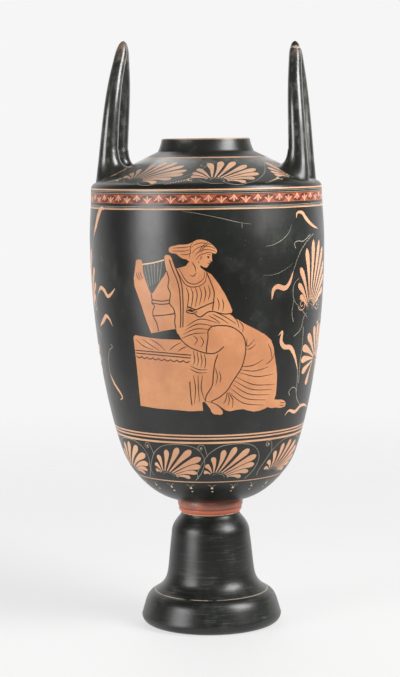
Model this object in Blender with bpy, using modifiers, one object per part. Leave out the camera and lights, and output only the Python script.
"""Wedding vase of fired clay: a tall barrel body on a bell foot, with two loop handles on its shoulder.

Everything is in metres. The origin is at the middle of the foot's underside and +Z is up. The handles
stand at +X and -X, and the painted front faces -Y. The vase is one fired piece: the turned wall and the
four handle legs are joined into a single solid, then hollowed from the mouth and from under the foot.
"""
import math

import bmesh
import bpy
from mathutils import Vector

# Foot: a rounded base, a bell that narrows upwards, and the rounded top of the bell
BASE_HEIGHT = 0.0262
BASE_RADIUS = 0.0557
BASE_WIDEST_HEIGHT = 0.0065
BASE_TOP_RADIUS = 0.0446
REST_OUTER_RADIUS = 0.0495
REST_INNER_RADIUS = 0.0440
BELL_HEIGHT = 0.0448
BELL_RADIUS = 0.0312
BELL_TOP_HEIGHT = 0.0176
PINCH_RADIUS = 0.0230

# Hollow under the foot
FOOT_HOLLOW_HEIGHT = 0.0850
FOOT_HOLLOW_RADIUS = 0.0190

# Ring moulding of two rolls between the foot and the body
UPPER_ROLL_HEIGHT = 0.0066
LOWER_ROLL_HEIGHT = 0.0046
ROLL_GROOVE_RADIUS = 0.0250
UPPER_ROLL_BULGE = 0.0009
LOWER_ROLL_BULGE = 0.0009
RING_TOP_RADIUS = 0.0251

# Body, shoulder, neck and lip
BODY_HEIGHT = 0.2456
BELLY_HEIGHT = 0.2052
BELLY_RADIUS = 0.0922
BODY_FOOT_RADIUS = 0.0268
TUCK_HEIGHT = 0.0357
TUCK_RADIUS = 0.0675
TUCK_SLOPE = math.radians(69)
BODY_TOP_RADIUS = 0.0906
SHOULDER_EDGE_RADIUS = 0.0060
SHOULDER_HEIGHT = 0.0289
NECK_HEIGHT = 0.0102
NECK_RADIUS = 0.0378
LIP_RADIUS = 0.0347
LIP_EDGE_RADIUS = 0.0010
WALL = 0.0050
NECK_WALL = 0.0054
FLOOR_DISH = 0.0015

# Handles: two legs each, joined at the tip; the left one stands a little taller and leans further in
RIGHT_HANDLE_HEIGHT = 0.1130
LEFT_HANDLE_HEIGHT = 0.1160
RIGHT_TIP_OFFSET = 0.0712
LEFT_TIP_OFFSET = 0.0650
HANDLE_ROOT_OFFSET = 0.0761
LEAN_CURVE = 1.3
LEG_HALF_GAP = 0.0170
LEG_ROOT_HALF_GAP = 0.0205
LEG_TIP_HALF_GAP = 0.0008
LEG_ARCH_HEIGHT = 0.0620
LEG_ROOT_DIAMETER = 0.0168
LEG_TIP_DIAMETER = 0.0090
LEG_TIP_LENGTH = 0.0120
LEG_FLARE = 0.0030
LEG_FLARE_LENGTH = 0.0050

# Smoothness of the turned wall and of the handle legs
TURNED_SIDES = 48
LEG_POINTS = 16
LEG_BEVEL_RESOLUTION = 3
LEG_SIDES = 4 + 2 * LEG_BEVEL_RESOLUTION

MERGE_DISTANCE = 0.00001
SMOOTH_ANGLE = math.radians(35)

# Levels that follow from the heights above
BELL_LEVEL = BASE_HEIGHT + BELL_HEIGHT
PINCH_LEVEL = BELL_LEVEL + BELL_TOP_HEIGHT
GROOVE_LEVEL = PINCH_LEVEL + LOWER_ROLL_HEIGHT
BODY_LEVEL = GROOVE_LEVEL + UPPER_ROLL_HEIGHT
TUCK_LEVEL = BODY_LEVEL + TUCK_HEIGHT
BELLY_LEVEL = BODY_LEVEL + BELLY_HEIGHT
SHOULDER_LEVEL = BODY_LEVEL + BODY_HEIGHT
NECK_LEVEL = SHOULDER_LEVEL + SHOULDER_HEIGHT
LIP_LEVEL = NECK_LEVEL + NECK_HEIGHT


def bezier(start, start_pull, end_pull, end, steps):
    """Points (radius, height) on a cubic curve, from start up to but not including end."""
    points = []
    for index in range(steps):
        t = index / steps
        weights = ((1 - t) ** 3, 3 * (1 - t) ** 2 * t, 3 * (1 - t) * t ** 2, t ** 3)
        corners = (start, start_pull, end_pull, end)
        points.append(tuple(sum(w * c[axis] for w, c in zip(weights, corners)) for axis in (0, 1)))
    return points


def mix(first, second, share):
    """The value that lies the given share of the way from first to second."""
    return first + (second - first) * share


def bulged(start, end, bulge, steps):
    """Points on a shallow bulge from start up to but not including end, standing out to the right."""
    points = []
    for index in range(steps):
        share = index / steps
        stand = 4 * bulge * share * (1 - share)
        points.append((mix(start[0], end[0], share) + stand, mix(start[1], end[1], share)))
    return points


def shoulder_arc(steps):
    """The rounded edge where the sloping shoulder turns down into the body."""
    slope = math.atan2(SHOULDER_HEIGHT, BODY_TOP_RADIUS - NECK_RADIUS)
    centre = (BODY_TOP_RADIUS - SHOULDER_EDGE_RADIUS, SHOULDER_LEVEL)
    points = []
    for index in range(steps + 1):
        angle = mix(math.pi / 2 - slope, 0, index / steps)
        points.append((centre[0] + SHOULDER_EDGE_RADIUS * math.cos(angle),
                       centre[1] + SHOULDER_EDGE_RADIUS * math.sin(angle)))
    return points


def body_outline():
    """Outer line of neck, shoulder and body, from the foot of the neck down to the ring."""
    flank = BELLY_LEVEL - TUCK_LEVEL
    rise = 0.196 * flank
    fall = 0.246 * TUCK_HEIGHT
    line = [(NECK_RADIUS, NECK_LEVEL)]
    line += shoulder_arc(4)
    top = line[-1]
    line += bezier(top, (top[0], mix(top[1], BELLY_LEVEL, 0.35)),
                   (BELLY_RADIUS, mix(BELLY_LEVEL, top[1], 0.40)),
                   (BELLY_RADIUS, BELLY_LEVEL), 3)[1:]
    line += bezier((BELLY_RADIUS, BELLY_LEVEL), (BELLY_RADIUS, BELLY_LEVEL - 0.425 * flank),
                   (TUCK_RADIUS + rise * math.cos(TUCK_SLOPE), TUCK_LEVEL + rise * math.sin(TUCK_SLOPE)),
                   (TUCK_RADIUS, TUCK_LEVEL), 8)
    line += bezier((TUCK_RADIUS, TUCK_LEVEL),
                   (TUCK_RADIUS - fall * math.cos(TUCK_SLOPE), TUCK_LEVEL - fall * math.sin(TUCK_SLOPE)),
                   (mix(BODY_FOOT_RADIUS, TUCK_RADIUS, 0.54), BODY_LEVEL + 0.109 * TUCK_HEIGHT),
                   (BODY_FOOT_RADIUS, BODY_LEVEL), 6)
    line.append((BODY_FOOT_RADIUS, BODY_LEVEL))
    return line


def foot_outline():
    """Outer line of the ring, the bell and the base, from the body down to the flat underside."""
    line = bulged((RING_TOP_RADIUS, BODY_LEVEL - 0.0002), (ROLL_GROOVE_RADIUS, GROOVE_LEVEL),
                  UPPER_ROLL_BULGE, 3)
    line += bulged((ROLL_GROOVE_RADIUS, GROOVE_LEVEL), (PINCH_RADIUS, PINCH_LEVEL), LOWER_ROLL_BULGE, 3)
    line += bezier((PINCH_RADIUS, PINCH_LEVEL),
                   (mix(PINCH_RADIUS, BELL_RADIUS, 0.10), mix(PINCH_LEVEL, BELL_LEVEL, 0.25)),
                   (BELL_RADIUS, mix(BELL_LEVEL, PINCH_LEVEL, 0.58)),
                   (BELL_RADIUS, BELL_LEVEL), 4)
    line += bezier((BELL_RADIUS, BELL_LEVEL),
                   (mix(BELL_RADIUS, BASE_TOP_RADIUS, 0.32), mix(BELL_LEVEL, BASE_HEIGHT, 0.73)),
                   (mix(BELL_RADIUS, BASE_TOP_RADIUS, 0.08), mix(BELL_LEVEL, BASE_HEIGHT, 0.80)),
                   (BASE_TOP_RADIUS, BASE_HEIGHT), 8)
    line += bezier((BASE_TOP_RADIUS, BASE_HEIGHT),
                   (mix(BASE_TOP_RADIUS, BASE_RADIUS, 0.68), mix(BASE_HEIGHT, BASE_WIDEST_HEIGHT, 0.15)),
                   (mix(BASE_TOP_RADIUS, BASE_RADIUS, 0.67), mix(BASE_HEIGHT, BASE_WIDEST_HEIGHT, 0.43)),
                   (BASE_RADIUS, BASE_WIDEST_HEIGHT), 6)
    line += bezier((BASE_RADIUS, BASE_WIDEST_HEIGHT), (BASE_RADIUS, 0.45 * BASE_WIDEST_HEIGHT),
                   (mix(REST_OUTER_RADIUS, BASE_RADIUS, 0.55), 0), (REST_OUTER_RADIUS, 0), 3)
    line.append((REST_OUTER_RADIUS, 0))
    return line


def outer_profile():
    """The whole outside, down from the middle of the lip's level to the middle of the underside."""
    rounding = LIP_EDGE_RADIUS
    lip = [(0, LIP_LEVEL), (LIP_RADIUS - rounding, LIP_LEVEL), (LIP_RADIUS, LIP_LEVEL - rounding)]
    return lip + body_outline() + foot_outline() + [(0, 0)]


def inset(line, depth):
    """The line moved by depth to its left side, the inside of a wall that is drawn downwards."""
    moved = []
    for index, (radius, level) in enumerate(line):
        before = line[max(index - 1, 0)]
        after = line[min(index + 1, len(line) - 1)]
        along = Vector((after[0] - before[0], after[1] - before[1])).normalized()
        point = Vector((radius, level)) + Vector((along.y, -along.x)) * depth
        near = min(distance_to_piece(point, line[i], line[i + 1]) for i in range(len(line) - 1))
        if near > depth * 0.97:
            moved.append((point.x, point.y))
    return moved


def distance_to_piece(point, start, end):
    """Distance from a point to the straight piece between start and end."""
    first = Vector(start)
    piece = Vector(end) - first
    share = max(0, min(1, (point - first).dot(piece) / piece.length_squared))
    return (point - first - piece * share).length


def cavity_profile():
    """The inside of the vase, from above the mouth down to the middle of its floor."""
    mouth = LIP_RADIUS - NECK_WALL
    throat = NECK_RADIUS - NECK_WALL
    wall = [point for point in inset(body_outline(), WALL) if point[0] > throat]
    floor = wall[-1][1]
    line = [(0, LIP_LEVEL + NECK_HEIGHT), (mouth, LIP_LEVEL + NECK_HEIGHT), (mouth, LIP_LEVEL)]
    line += [(throat, NECK_LEVEL - WALL)] + wall[1:]
    line += [(BODY_FOOT_RADIUS * 0.5, floor - FLOOR_DISH * 0.75), (0, floor - FLOOR_DISH)]
    return line


def foot_hollow_profile():
    """The hollow under the foot, from the middle of its dome down past the underside."""
    top = FOOT_HOLLOW_HEIGHT
    spring = top - 0.5 * FOOT_HOLLOW_RADIUS
    line = bezier((0, top), (0.6 * FOOT_HOLLOW_RADIUS, top),
                  (FOOT_HOLLOW_RADIUS, mix(spring, top, 0.55)), (FOOT_HOLLOW_RADIUS, spring), 4)
    line += bezier((FOOT_HOLLOW_RADIUS, spring), (mix(FOOT_HOLLOW_RADIUS, REST_INNER_RADIUS, 0.2), 0.35 * top),
                   (mix(FOOT_HOLLOW_RADIUS, REST_INNER_RADIUS, 0.85), 0.42 * top),
                   (REST_INNER_RADIUS, 0), 6)
    line += [(REST_INNER_RADIUS, 0), (REST_INNER_RADIUS, -BASE_HEIGHT), (0, -BASE_HEIGHT)]
    return line


def leg_line(height, tip_offset):
    """Points and radii of one handle leg at +X and -Y, from the tip down into the shoulder wall."""
    arch = bezier((LEG_TIP_HALF_GAP, 0), (5 * LEG_TIP_HALF_GAP, 0.35 * LEG_ARCH_HEIGHT),
                  (0.96 * LEG_HALF_GAP, 0.35 * LEG_ARCH_HEIGHT), (LEG_HALF_GAP, LEG_ARCH_HEIGHT),
                  LEG_POINTS // 2)
    lower = bezier((LEG_HALF_GAP, LEG_ARCH_HEIGHT), (LEG_HALF_GAP, mix(LEG_ARCH_HEIGHT, height, 0.45)),
                   (LEG_HALF_GAP, mix(LEG_ARCH_HEIGHT, height, 0.75)),
                   (LEG_ROOT_HALF_GAP, height), LEG_POINTS // 2)
    landing = height - leg_landing_height()
    stations = pointed_tip(arch) + [point for point in arch if point[1] > LEG_TIP_LENGTH]
    points = []
    for half_gap, drop in stations + lower + [(LEG_ROOT_HALF_GAP, height)]:
        share = drop / height
        flare = LEG_FLARE * math.exp(-max(landing - drop, 0) / LEG_FLARE_LENGTH)
        offset = mix(HANDLE_ROOT_OFFSET, tip_offset, (1 - share) ** LEAN_CURVE) - flare
        radius = mix(LEG_TIP_DIAMETER, LEG_ROOT_DIAMETER, share) / 2 + flare
        if drop < LEG_TIP_LENGTH:
            radius *= math.sqrt(1 - (1 - drop / LEG_TIP_LENGTH) ** 2)
        points.append((Vector((offset, -half_gap, SHOULDER_LEVEL + height - drop)), radius))
    return points


def pointed_tip(arch):
    """Stations (half gap, drop) that close the top of a leg with a long round end."""
    stations = []
    for angle in (8, 30, 52, 74):
        drop = LEG_TIP_LENGTH * (1 - math.cos(math.radians(angle)))
        after = next(index for index, point in enumerate(arch) if point[1] > drop)
        (near_gap, near_drop), (far_gap, far_drop) = arch[after - 1], arch[after]
        stations.append((mix(near_gap, far_gap, (drop - near_drop) / (far_drop - near_drop)), drop))
    return stations


def leg_landing_height():
    """Height of the shoulder's slope above the body's top, where a leg lands on it."""
    reach = math.hypot(HANDLE_ROOT_OFFSET, LEG_ROOT_HALF_GAP)
    share = (BODY_TOP_RADIUS - reach) / (BODY_TOP_RADIUS - NECK_RADIUS)
    return SHOULDER_HEIGHT * share


def material(name, colour, roughness):
    """A plain non-metal material with the given base colour and roughness."""
    made = bpy.data.materials.new(name)
    made.use_nodes = True
    shader = made.node_tree.nodes["Principled BSDF"]
    shader.inputs["Base Color"].default_value = (*colour, 1)
    shader.inputs["Roughness"].default_value = roughness
    shader.inputs["Metallic"].default_value = 0
    return made


def collection(name):
    """A new collection linked to the scene."""
    made = bpy.data.collections.new(name)
    bpy.context.scene.collection.children.link(made)
    return made


def turned(name, profile, home):
    """An object turned about Z from a profile of (radius, height) pairs that runs down its outer side."""
    mesh = bpy.data.meshes.new(name)
    points = [(radius, 0, level) for radius, level in profile]
    mesh.from_pydata(points, [(i, i + 1) for i in range(len(points) - 1)], [])
    item = bpy.data.objects.new(name, mesh)
    home.objects.link(item)
    screw = item.modifiers.new("turn", "SCREW")
    screw.axis = "Z"
    screw.steps = TURNED_SIDES
    screw.render_steps = TURNED_SIDES
    screw.use_merge_vertices = True
    screw.merge_threshold = MERGE_DISTANCE
    screw.use_smooth_shade = True
    return item


def leg_mesh(name, line, turn, home):
    """A closed mesh of one tapered leg along (point, radius) pairs, its flat sides turned by an angle."""
    curve = bpy.data.curves.new(name + "_line", "CURVE")
    curve.dimensions = "3D"
    curve.bevel_depth = LEG_ROOT_DIAMETER / 2
    curve.bevel_resolution = LEG_BEVEL_RESOLUTION
    curve.use_fill_caps = True
    spline = curve.splines.new("POLY")
    spline.points.add(len(line) - 1)
    for point, (place, radius) in zip(spline.points, line):
        point.co = (*place, 1)
        point.radius = radius / curve.bevel_depth
        point.tilt = turn
    guide = bpy.data.objects.new(name + "_line", curve)
    home.objects.link(guide)
    bpy.context.view_layer.update()
    evaluated = guide.evaluated_get(bpy.context.evaluated_depsgraph_get())
    mesh = bpy.data.meshes.new_from_object(evaluated)
    mesh.name = name
    work = bmesh.new()
    work.from_mesh(mesh)
    bmesh.ops.remove_doubles(work, verts=work.verts, dist=MERGE_DISTANCE)
    bmesh.ops.recalc_face_normals(work, faces=work.faces)
    work.to_mesh(mesh)
    work.free()
    leg = bpy.data.objects.new(name, mesh)
    leg.matrix_world = guide.matrix_world.copy()
    home.objects.link(leg)
    bpy.data.objects.remove(guide)
    return leg


def handle_legs(home):
    """The four legs: a front and a back leg, mirrored to each other, for each handle."""
    legs = []
    handles = (("right", 1, RIGHT_HANDLE_HEIGHT, RIGHT_TIP_OFFSET),
               ("left", -1, LEFT_HANDLE_HEIGHT, LEFT_TIP_OFFSET))
    for side, x_sign, height, tip_offset in handles:
        for end, y_sign, turn in (("front", 1, 0), ("back", -1, math.pi / LEG_SIDES)):
            line = [(Vector((place.x * x_sign, place.y * y_sign, place.z)), radius)
                    for place, radius in leg_line(height, tip_offset)]
            legs.append(leg_mesh(f"{side}_{end}_leg", line, turn, home))
    return legs


def combine(item, other, operation):
    """Adds a Boolean modifier that joins other to item or cuts it away, and hides other as a helper."""
    change = item.modifiers.new(other.name, "BOOLEAN")
    change.operation = operation
    change.solver = "EXACT"
    change.object = other
    other.hide_render = True
    other.display_type = "WIRE"


def build():
    """Builds the vase and its helpers in an empty scene."""
    for old in list(bpy.data.objects):
        bpy.data.objects.remove(old, do_unlink=True)
    parts = collection("wedding_vase")
    helpers = collection("cutters")
    vase = turned("vase", outer_profile(), parts)
    vase.data.materials.append(material("black_gloss_clay", (0.028, 0.030, 0.027), 0.28))
    for leg in handle_legs(helpers):
        combine(vase, leg, "UNION")
    combine(vase, turned("body_hollow", cavity_profile(), helpers), "DIFFERENCE")
    combine(vase, turned("foot_hollow", foot_hollow_profile(), helpers), "DIFFERENCE")
    vase.data.shade_smooth()
    vase.data.set_sharp_from_angle(angle=SMOOTH_ANGLE)


build()
